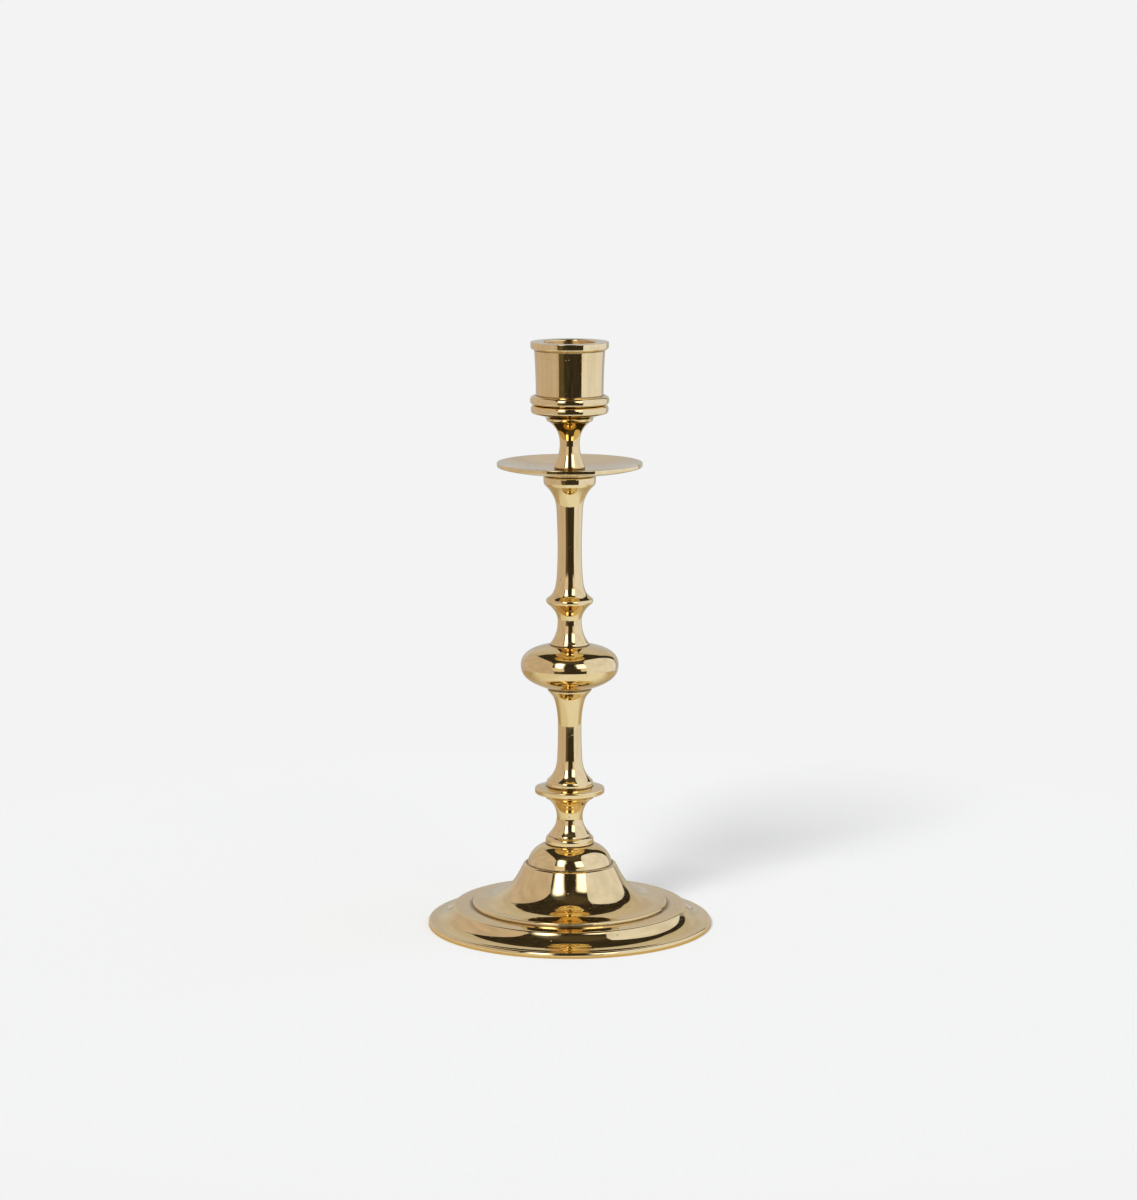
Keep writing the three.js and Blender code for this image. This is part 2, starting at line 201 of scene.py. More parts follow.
def turned(name, points, foot, sides, materials, closed=True, rounding=0.2, seams=(), rough_span=None,
           dents=()):
    """A skin of revolution with its exact normals.

    The second material covers the outline from the first point of rough_span to the second. A dent is an
    azimuth in radians, a radius, a height above the foot, a depth and a size.
    """
    place, normal, crevice_dirt_and_shade, edge = contour(points, closed, rounding, seams)
    angles = np.arange(sides) * 2 * math.pi / sides
    cos, sin = np.cos(angles), np.sin(angles)
    verts, normals, layers, rings = [], [], {"crevice_dirt_and_shade": [], "edge": []}, []
    for (r, z), (nr, nz), c, e in zip(place, normal, crevice_dirt_and_shade, edge):
        if r < ON_AXIS:
            rings.append([len(verts)])
            verts.append((0, 0, (z + foot) * MM))
            normals.append((0, 0, math.copysign(1, nz)))
            count = 1
        else:
            rings.append(list(range(len(verts), len(verts) + sides)))
            verts.extend(zip(r * cos * MM, r * sin * MM, np.full(sides, (z + foot) * MM)))
            normals.extend(zip(nr * cos, nr * sin, np.full(sides, nz)))
            count = sides
        layers["crevice_dirt_and_shade"] += [c] * count
        layers["edge"] += [e] * count
    rough = np.zeros(len(place), bool)
    if rough_span is not None:
        ends = [int(np.argmin(np.hypot(*(place - np.array(p)).T))) for p in rough_span]
        rough[ends[0]:ends[1]] = True
    faces, face_material = [], []
    spans = list(zip(rings, rings[1:] + rings[:1])) if closed else list(zip(rings[:-1], rings[1:]))
    for i, (a, b) in enumerate(spans):
        for k in range(sides):
            m = (k + 1) % sides
            ring = [a[k % len(a)], b[k % len(b)], b[m % len(b)], a[m % len(a)]]
            face = [v for n, v in enumerate(ring) if v not in ring[:n]]
            if len(face) > 2:
                faces.append(face)
                face_material.append(int(rough[i]))
    verts, normals = np.array(verts), np.array(normals)
    for azimuth, r, z, depth, size in dents:
        centre = np.array([r * math.sin(azimuth), -r * math.cos(azimuth), z + foot]) * MM
        push = np.exp(-(np.linalg.norm(verts - centre, axis=1) / (size * MM)) ** 2) * depth * MM
        verts -= normals * push[:, None]
    return mesh_object(name, verts, faces, materials, face_material, normals, layers)


def tube(name, radius_at, heights, sides, materials):
    """A solid of rings round Z whose radius depends on the angle and the height, capped at both ends."""
    verts, faces = [], []
    for z in heights:
        for k in range(sides):
            angle = 2 * math.pi * k / sides
            r = radius_at(angle, z)
            verts.append((r * math.cos(angle) * MM, r * math.sin(angle) * MM, z * MM))
    for i in range(len(heights) - 1):
        for k in range(sides):
            m = (k + 1) % sides
            faces.append([i * sides + k, i * sides + m, (i + 1) * sides + m, (i + 1) * sides + k])
    faces.append(list(range(sides))[::-1])
    faces.append([(len(heights) - 1) * sides + k for k in range(sides)])
    return mesh_object(name, verts, faces, materials)


def nut(name, foot, materials):
    """A chamfered hexagonal nut with a countersunk hole."""
    flat, height, sides = 4.0, 4.0, 72
    hole, mouth, sink = 2.55, 2.95, 0.45
    crown = flat * 0.95

    def hexagon(angle):
        return flat / math.cos((angle + math.pi / 6) % (math.pi / 3) - math.pi / 6)

    def rows(angle):
        corner = hexagon(angle)
        drop = (corner - crown) * math.tan(math.radians(30))
        return [(hole, sink), (mouth, 0), (crown, 0), (corner, drop), (corner, height - drop),
                (crown, height), (mouth, height), (hole, height - sink)]

    verts, faces = [], []
    for k in range(sides):
        angle = 2 * math.pi * k / sides
        for r, z in rows(angle):
            verts.append((r * math.cos(angle) * MM, r * math.sin(angle) * MM, (z + foot) * MM))
    count = len(rows(0))
    for k in range(sides):
        m = (k + 1) % sides
        for i in range(count):
            j = (i + 1) % count
            faces.append([k * count + i, m * count + i, m * count + j, k * count + j])
    piece = mesh_object(name, verts, faces, materials)
    piece.data.polygons.foreach_set("use_smooth", np.zeros(len(piece.data.polygons), bool))
    return piece


def spring_washer(name, foot, materials):
    """A split ring whose two ends stand slightly apart in height."""
    inner, outer, thickness, split, steps = 2.6, 4.5, 1.0, math.radians(12), 64
    bevel, chamfer = 0.12, 0.15
    low_end, end_gap = 0.03, 0.14
    section = [(inner, bevel), (inner + bevel, 0), (outer - chamfer, 0), (outer, chamfer),
               (outer, thickness - chamfer), (outer - chamfer, thickness), (inner + bevel, thickness),
               (inner, thickness - bevel)]
    verts, faces, count = [], [], len(section)
    for s in range(steps + 1):
        angle = split / 2 + (2 * math.pi - split) * s / steps
        rise = low_end + end_gap * s / steps
        for r, z in section:
            verts.append((r * math.cos(angle) * MM, r * math.sin(angle) * MM, (foot + rise + z) * MM))
    for s in range(steps):
        for i in range(count):
            j = (i + 1) % count
            faces.append([s * count + i, (s + 1) * count + i, (s + 1) * count + j, s * count + j])
    faces.append(list(range(count)))
    faces.append([steps * count + i for i in range(count)][::-1])
    piece = mesh_object(name, verts, faces, materials)
    piece.data.polygons.foreach_set("use_smooth", np.zeros(len(piece.data.polygons), bool))
    return piece


# ---------------------------------------------------------------- materials

class Nodes:
    """A node tree and short ways to add to it."""

    def __init__(self, tree):
        self.tree = tree
        tree.nodes.clear()

    def add(self, kind, settings=None, **inputs):
        node = self.tree.nodes.new(kind)
        for key, value in (settings or {}).items():
            setattr(node, key, value)
        for key, value in inputs.items():
            self.put(node, int(key[1:]) if key[1:].isdigit() else key.replace("_", " "), value)
        return node

    def put(self, node, socket, value):
        """Links a node or an output to a socket, or sets the socket to a number or colour."""
        if isinstance(value, bpy.types.Node):
            value = value.outputs[0]
        if isinstance(value, bpy.types.NodeSocket):
            self.tree.links.new(value, node.inputs[socket])
        else:
            node.inputs[socket].default_value = value

    def math(self, operation, a, b=0.0, c=0.0, clamp=False):
        node = self.add("ShaderNodeMath", {"operation": operation, "use_clamp": clamp})
        for i, value in enumerate((a, b, c)[:len(node.inputs)]):
            self.put(node, i, value)
        return node.outputs[0]

    def dot(self, vector, direction):
        node = self.add("ShaderNodeVectorMath", {"operation": "DOT_PRODUCT"}, _0=vector,
                        _1=tuple(direction))
        return node.outputs["Value"]

    def ramp(self, value, low, high, out_low=0.0, out_high=1.0):
        """A smooth step from one output to the other as the value goes from low to high."""
        node = self.add("ShaderNodeMapRange", {"interpolation_type": "SMOOTHSTEP"},
                        Value=value, From_Min=low, From_Max=high, To_Min=out_low, To_Max=out_high)
        return node.outputs["Result"]

    def blend(self, factor, a, b, mode="MIX"):
        node = self.add("ShaderNodeMix", {"data_type": "RGBA", "blend_type": mode})
        for socket, value in ((0, factor), (6, a), (7, b)):
            self.put(node, socket, value)
        return node.outputs[2]

    def noise(self, vector, scale, detail=3.0, roughness=0.55, distortion=0.0):
        node = self.add("ShaderNodeTexNoise", None, Vector=vector, Scale=scale, Detail=detail,
                        Roughness=roughness, Distortion=distortion)
        return node.outputs[0]

    def scaled(self, vector, scale, turn=(0, 0, 0)):
        node = self.add("ShaderNodeMapping", None, Vector=vector, Scale=scale, Rotation=turn)
        return node.outputs[0]


def rgb(red, green, blue):
    return (red, green, blue, 1.0)


def new_material(name):
    """A material with its Nodes, its object coordinates and its main shader."""
    material = bpy.data.materials.new(name)
    material.use_nodes = True
    nodes = Nodes(material.node_tree)
    where = nodes.add("ShaderNodeTexCoord").outputs["Object"]
    shader = nodes.add("ShaderNodeBsdfPrincipled")
    nodes.add("ShaderNodeOutputMaterial", None, Surface=shader)
    return material, nodes, where, shader


def round_axis(nodes, where):
    """Coordinates that run along the turning marks: slow round the axis, fast along height and radius."""
    slow, fast = 9.0, 1700.0
    x, y, z = nodes.add("ShaderNodeSeparateXYZ", None, Vector=where).outputs
    square = nodes.math("ADD", nodes.math("MULTIPLY", x, x), nodes.math("MULTIPLY", y, y))
    along = nodes.math("ADD", z, nodes.math("SQRT", square))
    return nodes.add("ShaderNodeCombineXYZ", None, X=nodes.math("MULTIPLY", x, slow),
                     Y=nodes.math("MULTIPLY", y, slow), Z=nodes.math("MULTIPLY", along, fast)).outputs[0]


def bumped(nodes, layers):
    """Chains bump layers of (height, strength, distance in metres) into one normal."""
    normal = None
    for height, strength, distance in layers:
        node = nodes.add("ShaderNodeBump", None, Strength=strength, Distance=distance, Height=height)
        if normal is not None:
            nodes.put(node, "Normal", normal)
        normal = node.outputs[0]
    return normal


def pits(nodes, where, scale, share, size):
    """Sparse pits of an uneven outline: a share of the cells holds one, of varying size."""
    uneven = 0.3
    stray = nodes.add("ShaderNodeTexNoise", None, Vector=where, Scale=scale * 4).outputs["Color"]
    moved = nodes.add("ShaderNodeVectorMath", {"operation": "MULTIPLY_ADD"}, _0=stray,
                      _1=(uneven / scale,) * 3, _2=where).outputs[0]
    cells = nodes.add("ShaderNodeTexVoronoi", {"feature": "F1"}, Vector=moved, Scale=scale, Randomness=1.0)
    chance = nodes.add("ShaderNodeSeparateColor", None, Color=cells.outputs["Color"])
    chosen = nodes.math("GREATER_THAN", chance.outputs[0], 1 - share)
    width = nodes.math("MULTIPLY_ADD", chance.outputs[1], size, size * 0.35)
    inside = nodes.ramp(nodes.math("DIVIDE", cells.outputs["Distance"], width), 1.0, 0.55)
    return nodes.math("MULTIPLY", inside, chosen)


def polished_brass():
    """Hand-polished brass: clear reflections, faint waves, hairlines, pits, and dirt with painted shade in
    the crevices.
    """
    material, nodes, where, shader = new_material("polished_brass")
    crevice_dirt_and_shade = nodes.add("ShaderNodeAttribute", {"attribute_name": "crevice_dirt_and_shade"}).outputs["Fac"]
    edge = nodes.add("ShaderNodeAttribute", {"attribute_name": "edge"}).outputs["Fac"]
    marks = nodes.noise(round_axis(nodes, where), 1.0, 4.0, 0.6)
    cloud = nodes.noise(where, 42.0, 4.0, 0.6, 0.4)
    blotch = nodes.noise(where, 150.0, 5.0, 0.62, 0.8)
    grime = nodes.noise(where, 900.0, 3.0, 0.6)
    drift = nodes.scaled(nodes.noise(where, 60.0, 2.0), (0.02, 0.02, 0.02))
    bent = nodes.add("ShaderNodeVectorMath", {"operation": "ADD"}, _0=where, _1=drift).outputs[0]
    bent = nodes.scaled(bent, (1.0, 0.35, 0.8), (0.5, 0.3, 0.9))
    hair = nodes.add("ShaderNodeTexVoronoi", {"feature": "DISTANCE_TO_EDGE"}, Vector=bent, Scale=170.0)
    hair = hair.outputs["Distance"]
    hairline = nodes.math("MULTIPLY", nodes.ramp(hair, 0.022, 0.004), nodes.ramp(blotch, 0.45, 0.62))
    pit = nodes.math("MAXIMUM", pits(nodes, where, 240.0, 0.05, 0.13), pits(nodes, where, 800.0, 0.03, 0.2))
    dust = nodes.math("MULTIPLY", pits(nodes, where, 700.0, 0.015, 0.065), 0.6)
    # Darker and rougher in crevices and at seams: real dirt, and painted shade where light is occluded.
    uneven_crevice_dirt_and_shade = nodes.math("ADD", crevice_dirt_and_shade, nodes.math("MULTIPLY_ADD", grime, 0.5, -0.25))
    dirt_and_painted_shade = nodes.math("MULTIPLY", nodes.ramp(uneven_crevice_dirt_and_shade, 0.35, 1.0), 0.75)

    colour = nodes.blend(nodes.ramp(cloud, 0.35, 0.7), rgb(0.85, 0.64, 0.275), rgb(0.81, 0.595, 0.24))
    tarnish = nodes.math("MULTIPLY", nodes.ramp(blotch, 0.5, 0.78), 0.35)
    colour = nodes.blend(tarnish, colour, rgb(0.72, 0.51, 0.2))
    colour = nodes.blend(nodes.math("MULTIPLY", edge, 0.35), colour, rgb(0.92, 0.74, 0.37))
    colour = nodes.blend(dirt_and_painted_shade, colour, rgb(0.17, 0.1, 0.035))
    colour = nodes.blend(nodes.math("MULTIPLY", pit, 0.85), colour, rgb(0.11, 0.07, 0.03))
    colour = nodes.blend(dust, colour, rgb(0.9, 0.8, 0.55))
    nodes.put(shader, "Base Color", colour)

    rough = nodes.math("MULTIPLY_ADD", nodes.ramp(blotch, 0.35, 0.8), 0.045, 0.03)
    rough = nodes.math("MULTIPLY_ADD", nodes.ramp(marks, 0.45, 0.8), 0.03, rough)
    rough = nodes.math("MULTIPLY_ADD", dirt_and_painted_shade, 0.4, rough)
    rough = nodes.math("MULTIPLY_ADD", pit, 0.35, rough)
    rough = nodes.math("MULTIPLY_ADD", dust, 0.5, rough)
    rough = nodes.math("MULTIPLY_ADD", hairline, 0.12, rough, clamp=True)
    nodes.put(shader, "Roughness", rough)
    shader.inputs["Metallic"].default_value = 1.0

    nodes.put(shader, "Normal", bumped(nodes, [
        (nodes.noise(where, 95.0, 2.0, 0.5), 1.0, 0.00001),
        (cloud, 1.0, 0.00002),
        (marks, 0.35, 0.0000016),
        (nodes.math("MULTIPLY", hairline, -1.0), 0.5, 0.000003),
        (nodes.math("MULTIPLY", pit, -1.0), 0.8, 0.00008),
    ]))
    return material


def cast_brass():
    """The unpolished inside of the castings: sandy, brown, with brighter high spots."""
    material, nodes, where, shader = new_material("cast_brass")
    sand = nodes.noise(where, 1900.0, 4.0, 0.65)
    lumps = nodes.noise(where, 260.0, 4.0, 0.6)
    stain = nodes.noise(where, 70.0, 5.0, 0.65, 0.6)
    crevice_dirt_and_shade = nodes.add("ShaderNodeAttribute", {"attribute_name": "crevice_dirt_and_shade"}).outputs["Fac"]
    colour = nodes.blend(nodes.ramp(stain, 0.35, 0.65), rgb(0.46, 0.32, 0.13), rgb(0.27, 0.18, 0.08))
    grains = nodes.math("MULTIPLY", nodes.ramp(sand, 0.55, 0.75), 0.5)
    colour = nodes.blend(grains, colour, rgb(0.66, 0.5, 0.23))
    verdigris = nodes.math("MULTIPLY", nodes.ramp(stain, 0.6, 0.75), 0.3)
    colour = nodes.blend(verdigris, colour, rgb(0.15, 0.2, 0.13))
    # Painted shade with some dirt: darker in the crevices and at the seams.
    colour = nodes.blend(nodes.math("MULTIPLY", crevice_dirt_and_shade, 0.6), colour, rgb(0.1, 0.06, 0.03))
    nodes.put(shader, "Base Color", colour)
    nodes.put(shader, "Roughness", nodes.ramp(lumps, 0.3, 0.75, 0.5, 0.72))
    nodes.put(shader, "Metallic", nodes.ramp(stain, 0.4, 0.7, 0.95, 0.75))
    nodes.put(shader, "Normal", bumped(nodes, [(lumps, 0.9, 0.0002), (sand, 0.8, 0.00006)]))
    return material


def bore_brass():
    """Reamed brass, as inside the candle cup: satin rings, with a film of old wax."""
    material, nodes, where, shader = new_material("reamed_brass")
    rings = nodes.noise(round_axis(nodes, where), 1.0, 5.0, 0.7)
    film = nodes.noise(where, 110.0, 4.0, 0.6, 0.5)
    colour = nodes.blend(nodes.ramp(film, 0.45, 0.75), rgb(0.66, 0.42, 0.14), rgb(0.48, 0.3, 0.11))
    scored = nodes.math("MULTIPLY", nodes.ramp(rings, 0.5, 0.7), 0.25)
    colour = nodes.blend(scored, colour, rgb(0.4, 0.27, 0.12))
    nodes.put(shader, "Base Color", colour)
    nodes.put(shader, "Roughness", nodes.ramp(film, 0.3, 0.8, 0.16, 0.38))
    shader.inputs["Metallic"].default_value = 1.0
    nodes.put(shader, "Normal", bumped(nodes, [(rings, 0.6, 0.00001), (film, 0.5, 0.00004)]))
    return material


def plated_steel(name, light, dark, low, high):
    """Steel hardware: brushed, with a thin uneven coat and scuffs."""
    material, nodes, where, shader = new_material(name)
    brushed = nodes.noise(nodes.scaled(where, (2600.0, 2600.0, 240.0)), 1.0, 3.0, 0.6)
    coat = nodes.noise(where, 260.0, 4.0, 0.6, 0.5)
    scuff = nodes.noise(where, 1500.0, 3.0, 0.7)
    colour = nodes.blend(nodes.ramp(coat, 0.35, 0.7), light, dark)
    scuffed = nodes.math("MULTIPLY", nodes.ramp(scuff, 0.6, 0.75), 0.4)
    colour = nodes.blend(scuffed, colour, rgb(0.7, 0.7, 0.68))
    nodes.put(shader, "Base Color", colour)
    nodes.put(shader, "Roughness", nodes.ramp(brushed, 0.3, 0.75, low, high))
    shader.inputs["Metallic"].default_value = 1.0
    nodes.put(shader, "Normal", bumped(nodes, [(brushed, 0.4, 0.00001), (scuff, 0.4, 0.00001)]))
    return material


POLISHED = polished_brass()
CAST = cast_brass()
REAMED = bore_brass()
ZINC = plated_steel("zinc_plated_steel", rgb(0.62, 0.62, 0.6), rgb(0.5, 0.5, 0.53), 0.24, 0.4)
SPRING = plated_steel("spring_steel", rgb(0.16, 0.15, 0.14), rgb(0.09, 0.09, 0.1), 0.32, 0.5)


# ---------------------------------------------------------------- the turned brass pieces

BASE = outline(
    (BORE, 26.7), (17.95, 26.7), (18.2, 26.35), (18.45, 26.35), (18.6, 26.7), (19.1, 26.62),
    (19.8, 26.25), (20.0, 25.7), (22.9, 20.0, 26.6, 10.8, 40.5, 10.27),
    (41.2, 10.22, 41.5, 10.1, 41.5, 9.7), (41.5, 8.75),
    (45, 8.62, 48.6, 8.4), (49.4, 8.35, 49.7, 8.1, 49.85, 7.7), (51.9, 4.9, 54.5, 2.85, 59.2, 2.6),
    (60.2, 2.52, 60.45, 1.85, 60.45, 0.9), (60.45, 0.15), (60.3, 0), (56.6, 0), (56.3, 0.2), (49.2, 5.9),
    (39, 6.3), (27, 8.4, 20, 14, 17.5, 22.2), (16.5, 23.2), (BORE, 23.2))
DOME = outline(
    (BORE, 8.4), (10.2, 8.4), (12.7, 7.85, 17, 5.2, 17.75, 1.0), (17.98, 0.35), (18.05, 0.05),
    (17.9, 0), (14, 0), (11, 4.6), (BORE, 4.6))
COLLAR = outline(
    (BORE, 25.1), (9.9, 25.1), (10.1, 24.95, 10.8, 24.85), (14.3, 24.5), (14.7, 24.35), (14.8, 23.9),
    (14.8, 23.0), (14.75, 22.4), (14.4, 22.1), (12.4, 21.6), (10.9, 21.1), (10.35, 20.6), (10.1, 19.9),
    (7.6, 18.7, 5.65, 15.6, 5.5, 11.9), (5.5, 9.2, 6.3, 7.0, 8.6, 4.5), (8.9, 4.1), (9.05, 3.5),
    (9.9, 3.05, 10.15, 2.5), (10.3, 1.4, 10.2, 0.5), (9.8, 0), (BORE, 0))
LOWER_STEM = outline(
    (BORE, 42.1), (9.2, 42.1), (9.35, 41.8), (9.25, 41.3), (7.6, 39.45),
    (6.4, 38.1, 5.75, 35.0, 5.25, 31.1), (5.05, 29.3, 5, 27.5, 5, 25.5),
    (5, 21, 5.08, 17.5, 5.22, 14.0), (5.4, 9.5, 5.75, 5.8, 9.6, 2.5),
    (9.85, 2.25, 9.9, 1.5), (9.9, 0.4), (9.8, 0), (BORE, 0))
KNOP = outline(
    (BORE, 18.9), (8.1, 18.9), (12, 18, 20.75, 17.1, 20.75, 10.2), (20.75, 5.4, 17.2, 3, 9.45, 0.35),
    (9.3, 0), (BORE, 0))
UPPER_STEM = outline(
    (5.2, 72.1), (10.75, 72.1), (11.1, 71.6), (11.05, 69.6), (10.97, 68.8, 10.5, 68.0),
    (7.3, 65.3, 5.65, 61.6, 5.56, 57.3), (5.38, 53.5, 5.12, 47.5, 5.1, 42.4), (5.1, 36, 5.4, 30.9),
    (5.65, 26.6, 6.0, 23.3, 7.9, 21.15), (8.5, 20.6, 9.7, 19.75), (10.0, 19.4, 10.0, 18.8),
    (9.95, 18.2, 9.5, 17.75), (6.9, 15.6, 5.0, 13.1, 5.1, 10.1), (5.1, 6.6, 5.95, 3.5, 8.05, 0.8),
    (8.15, 0.4), (8.1, 0), (BORE, 0), (BORE, 67.6), (5.2, 67.6))
PAN = outline(
    (BORE, 3), (8, 3), (15, 3, 24, 4.75, 30.3, 5.43), (30.6, 5.4), (30.65, 5.3), (30.65, 4.1),
    (30.6, 3.7, 30.15, 3.55), (22.5, 1.3, 11.1, 1.3), (11.1, 0.5), (10.7, 0), (BORE, 0))
NECK = outline(
    (0, 21.3), (4.1, 21.3), (4.1, 26.8), (14.3, 26.7), (15.78, 26.7, 16.35, 26.17, 16.35, 24.8),
    (16.35, 23.43, 15.78, 22.9, 14.3, 22.9),
    (12.4, 22.5, 10.6, 21.7), (10.1, 21.3), (9.8, 20.3), (9.6, 19.8, 8.85, 19.55),
    (6.1, 17.7, 4.25, 14.9, 4.17, 10.2), (4.17, 7.4, 4.9, 4.9, 6.4, 1.25), (6.6, 0.9, 6.55, 0.4), (6.5, 0),
    (BORE, 0), (BORE, 18.4), (0, 18.4))
CUP = outline(
    (0, 3.9), (10.9, 3.9), (11.2, 25.8), (11.35, 26.2, 11.8, 26.3), (16.36, 26.3), (16.45, 26.22),
    (16.45, 24.1), (16.35, 23.5, 15.7, 23.2), (15.1, 22.95), (14.85, 22.7, 14.85, 22.2),
    (14.5, 17, 14.22, 11, 14.22, 3.9), (15.7, 3.9, 16.65, 3.2, 16.65, 2.0),
    (16.65, 0.45, 16.3, 0.1, 14.2, 0.1), (14.2, 0), (4, 0), (4, -5), (0, -5))


def ready(piece, body, node):
    """Hands a piece over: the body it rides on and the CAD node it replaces."""
    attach(piece, body)
    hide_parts(node)


# Name, outline, foot, sides, node, body, closed, corner rounding, seams with neighbours, rough span, dents.
TURNED = [
    ("base_skin", BASE, 0, 224, "base", "column", True, 0.26, [(18.3, 26.4), (41.5, 8.75)],
     [(60.2, 0.0), (BORE, 23.4)], [(0.9, 60.3, 1.9, 0.12, 1.6), (-1.25, 60.3, 2.4, 0.1, 1.1)]),
    ("dome_skin", DOME, DOME_Z, 192, "base_dome", "column", True, 0.16, [(18.0, 0.0), (10.2, 8.4)],
     [(17.7, 0.0), (BORE, 4.8)], []),
    ("collar_skin", COLLAR, COLLAR_Z, 160, "base_collar", "column", True, 0.12, [(9.9, 0.0), (10.0, 25.0)],
     [(9.5, 0.0), (BORE, 0.2)], []),
    ("lower_stem_skin", LOWER_STEM, LOWER_STEM_Z, 160, "lower_stem", "column", True, 0.14,
     [(9.9, 0.0), (9.3, 42.1)], None, []),
    ("knop_skin", KNOP, KNOP_Z, 192, "knop", "column", True, 0.14, [(8.1, 18.9), (9.3, 0.1)], None, []),
    ("upper_stem_skin", UPPER_STEM, UPPER_STEM_Z, 160, "upper_stem", "column", True, 0.14,
     [(8.1, 0.0), (11.0, 72.1)], [(BORE, 2), (5.2, 70)], []),
    ("drip_pan_skin", PAN, PAN_Z, 192, "drip_pan", "drip_pan", True, 0.08,
     [(6.6, 3.0), (11.1, 0.0), (11.1, 1.3)], None,
     [(1.28, 30.6, 5.2, 0.45, 0.9), (-0.4, 30.6, 4.9, 0.08, 1.4)]),
    ("socket_neck_skin", NECK, NECK_Z, 160, "socket_neck", "candle_socket", False, 0.14,
     [(6.55, 0.0), (14.4, 26.8)], [(BORE, 1), (0, 18.4)], []),
    ("socket_cup_skin", CUP, CUP_Z, 192, "socket_cup", "candle_socket", False, 0.1,
     [(14.4, 0.0), (14.2, 3.9), (15.0, 23.0)], [(0, 3.9), (11.2, 25.6)], []),
]
UNPOLISHED = {"base": CAST, "base_dome": CAST, "base_collar": CAST}
for name, points, foot, sides, node, body, closed, rounding, seams, rough_span, dents in TURNED:
    materials = [POLISHED, UNPOLISHED.get(node, REAMED)]
    skin = turned(name, points, foot, sides, materials, closed, rounding, seams, rough_span, dents)
    ready(skin, body, node)


# ---------------------------------------------------------------- the hardware

def rod_radius(angle, z):
    """A thread at both ends of the rod, with a plain shank between, and chamfered ends."""
    flank_top, flank_slope = 1.35, 3.4
    phase = (z / THREAD_PITCH - angle / (2 * math.pi)) % 1.0
    tooth = min(1.0, max(0.0, flank_top - abs(phase - 0.5) * flank_slope))
    threaded = THREAD_ROOT + (THREAD_CREST - THREAD_ROOT) * tooth
    plain = min(max(z - SHANK_FOOT, 0.0), max(SHANK_TOP - z, 0.0), 1.0)
    end = ROD_TIP + min(z - ROD_FOOT, ROD_TOP - z)
    return min(threaded * (1 - plain) + SHANK * plain, max(end, ROD_TIP))


# Fine rings along the threads and a few along the shank.
rod_heights = np.r_[np.arange(ROD_FOOT, 34.2, THREAD_STEP), np.linspace(34.4, 179.8, 12),
                    np.arange(180.0, ROD_TOP, THREAD_STEP), ROD_TOP]
ready(tube("threaded_rod", rod_radius, rod_heights, 32, [ZINC]), "column", "tie_rod")

WASHER = outline((2.8, 0.15), (2.8, 1.2), (7.3, 1.2), (7.5, 1.1), (7.5, 0.12), (7.38, 0), (2.95, 0))
washer = turned("flat_washer", WASHER, 22.0, 96, [ZINC], True, 0.1)
ready(washer, "column", "base_washer")
ready(spring_washer("split_washer", 20.8, [SPRING]), "column", "lock_washer")
ready(nut("base_hex_nut", 16.8, [ZINC]), "column", "base_nut")
ready(nut("stem_hex_nut", 188.8, [ZINC]), "column", "stem_nut")


# ---------------------------------------------------------------- the studio

# The grey that the camera sees behind the object, the tint of the room's light, and the light that the
# table gives off itself, so that with the lamp on it is as bright as the backdrop.
BACKDROP = 0.8963
DAYLIGHT = (1.0, 1.07, 1.43)
TABLE_GLOW = (0.286, 0.285, 0.241)
LAMP_AZIMUTH = -28.6
LAMP_ELEVATION = 42.7
LAMP_STRENGTH = 4.3
LAMP_WIDTH_DEG = 21
TABLE_RADIUS = 0.405
TABLE_RINGS = 16
TABLE_SIDES = 96
TABLE_FADE_START = 0.34
TABLE_FADE_END = 0.395
CAMERA_PLACE = (-0.0005, -1.5, 0.3839)
CAMERA_DIP_DEG = 9.2268
CAMERA_LENS = 107.864


def aim(azimuth, elevation):
    """The direction at an azimuth from the camera's side, positive to its right, and at an elevation."""
    a, e = math.radians(azimuth), math.radians(elevation)
    return Vector((math.sin(a) * math.cos(e), -math.cos(a) * math.cos(e), math.sin(e)))


def cool(colour):
    """A colour as the brass sees it: the room's light is cooler than the camera's white."""
    return rgb(*(part * tint for part, tint in zip(colour, DAYLIGHT)))


